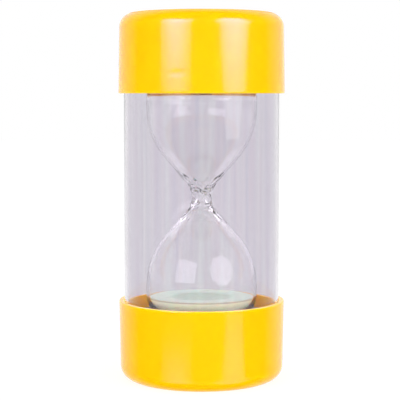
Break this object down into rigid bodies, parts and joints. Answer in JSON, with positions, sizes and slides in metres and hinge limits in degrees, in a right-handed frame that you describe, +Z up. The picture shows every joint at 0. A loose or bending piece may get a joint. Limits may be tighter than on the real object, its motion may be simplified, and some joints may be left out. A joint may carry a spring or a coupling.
{
  "type": "hourglass sand timer",
  "caption": "Hourglass sand timer: a sealed glass ampoule of pale sand, cushioned in a clear plastic tube between two rounded yellow end caps.",
  "frame": {"origin": "centre of the lower end cap's flat end face, on the plane that the timer stands on", "axes": "+Z up along the timer's axis, from the bulb that holds the sand to the empty bulb; +X to the right and +Y away from a viewer at the front"},
  "size_m": [0.0724, 0.0724, 0.16],
  "materials": {
    "cap_yellow": "moulded, smooth and glossy, opaque warm yellow",
    "clear_plastic": "extruded clear tube, polished, with a faint cool tint",
    "clear_glass": "lamp-blown clear glass, polished",
    "cork": "plain cork",
    "pale_sand": "fine dyed sand, dry and matt, pale green",
    "dark_foam": "closed-cell foam, matt, dark grey"
  },
  "bodies": {
    "root": {"lower_cap": "cap_yellow", "upper_cap": "cap_yellow", "outer_tube": "clear_plastic", "glass_ampoule": "clear_glass", "fill_stopper": "cork", "sand_bed": "pale_sand", "lower_foam_pad": "dark_foam", "upper_foam_pad": "dark_foam"}
  },
  "joints": []
}
